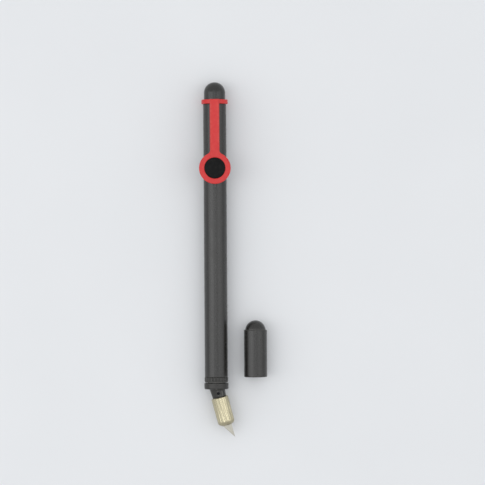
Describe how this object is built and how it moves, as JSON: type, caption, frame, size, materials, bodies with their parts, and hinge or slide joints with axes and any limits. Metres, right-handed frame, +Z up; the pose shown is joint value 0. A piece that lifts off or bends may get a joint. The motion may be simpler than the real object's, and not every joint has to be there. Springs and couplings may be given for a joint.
{
  "type": "hobby craft knife",
  "caption": "Round pen-style craft knife with a swivelling leaning chuck, knurled nut, flat pointed blade, ring-ended pocket clip, domed tail plug and a separate blade cap.",
  "frame": {"origin": "on the barrel's axis, at the middle of the tail plug's straight collar", "axes": "+Y along the barrel's axis, out of the tail; the blade end is towards -Y; +X is the side the chuck leans to; +Z up, towards the pocket clip, with the knife lying on its back"},
  "size_m": [0.0289, 0.1543, 0.0137],
  "materials": {
    "black_gloss_moulding": "glossy moulded black plastic",
    "black_satin_moulding": "satin moulded black plastic with straight ribs",
    "red_moulding": "moulded signal red plastic",
    "white_nylon": "natural nylon",
    "turned_brass": "turned, bare",
    "ground_steel": "ground steel",
    "spring_steel": "oiled spring steel",
    "black_anodised_head": "turned and black anodised",
    "nickel_plated_nut": "straight knurled, pale champagne nickel plating",
    "blade_steel": "ground carbon steel, polished bevels"
  },
  "bodies": {
    "barrel": {"barrel": "black_gloss_moulding", "clip_collar": "red_moulding", "front_bush": "black_satin_moulding", "rear_bush": "turned_brass"},
    "clip": {"clip_arm": "red_moulding", "clip_badge": "black_gloss_moulding"},
    "end_plug": {"end_plug": "black_gloss_moulding"},
    "brake_washer": {"brake_washer": "black_satin_moulding"},
    "lock_ring": {"lock_ring": "black_satin_moulding"},
    "swivel_head": {"swivel_head": "black_anodised_head", "swivel_shaft": "ground_steel", "thrust_washer": "white_nylon", "shaft_washer": "ground_steel", "retaining_clip": "spring_steel", "neck_screw": "spring_steel", "collet": "turned_brass"},
    "clamp_ring": {"clamp_ring": "turned_brass"},
    "chuck_nut": {"chuck_nut": "nickel_plated_nut"},
    "blade": {"blade": "blade_steel"},
    "blade_cap": {"cap_sleeve": "black_gloss_moulding", "cap_plug": "black_gloss_moulding"}
  },
  "joints": [
    {"name": "clip_flex", "type": "hinge", "parent": "barrel", "child": "clip", "pos_m": [0, -0.0034, 0.0072], "axis": [-1, 0, 0], "range_deg": [0, 3], "stiffness_Nm_per_rad": 0.2},
    {"name": "plug_pull", "type": "slide", "parent": "barrel", "child": "end_plug", "axis": [0, 1, 0], "range_m": [0, 0.014]},
    {"name": "brake_travel", "type": "slide", "parent": "barrel", "child": "brake_washer", "axis": [0, -1, 0], "range_m": [0, 0.00031]},
    {"name": "lock_turn", "type": "hinge", "parent": "brake_washer", "child": "lock_ring", "pos_m": [0, -0.1231, 0], "axis": [0, -1, 0], "range_deg": [0, 140]},
    {"name": "swivel", "type": "hinge", "parent": "barrel", "child": "swivel_head", "pos_m": [0, -0.1173, 0], "axis": [0, -1, 0], "continuous": true},
    {"name": "ring_travel", "type": "slide", "parent": "swivel_head", "child": "clamp_ring", "axis": [0.2588, -0.9659, 0], "range_m": [0, 0.00075]},
    {"name": "nut_turn", "type": "hinge", "parent": "clamp_ring", "child": "chuck_nut", "pos_m": [0.00129, -0.13089, 0], "axis": [0.2588, -0.9659, 0], "range_deg": [0, 540]},
    {"name": "blade_draw", "type": "slide", "parent": "swivel_head", "child": "blade", "axis": [0.2588, -0.9659, 0], "range_m": [0, 0.024]},
    {"name": "cap_draw", "type": "slide", "parent": "barrel", "child": "blade_cap", "axis": [0, 1, 0], "range_m": [0, 0.0185]}
  ],
  "couplings": [
    {"joint": "lock_turn", "follows": "brake_travel", "rad_per_m": 7882.1},
    {"joint": "nut_turn", "follows": "ring_travel", "rad_per_m": 12566}
  ]
}
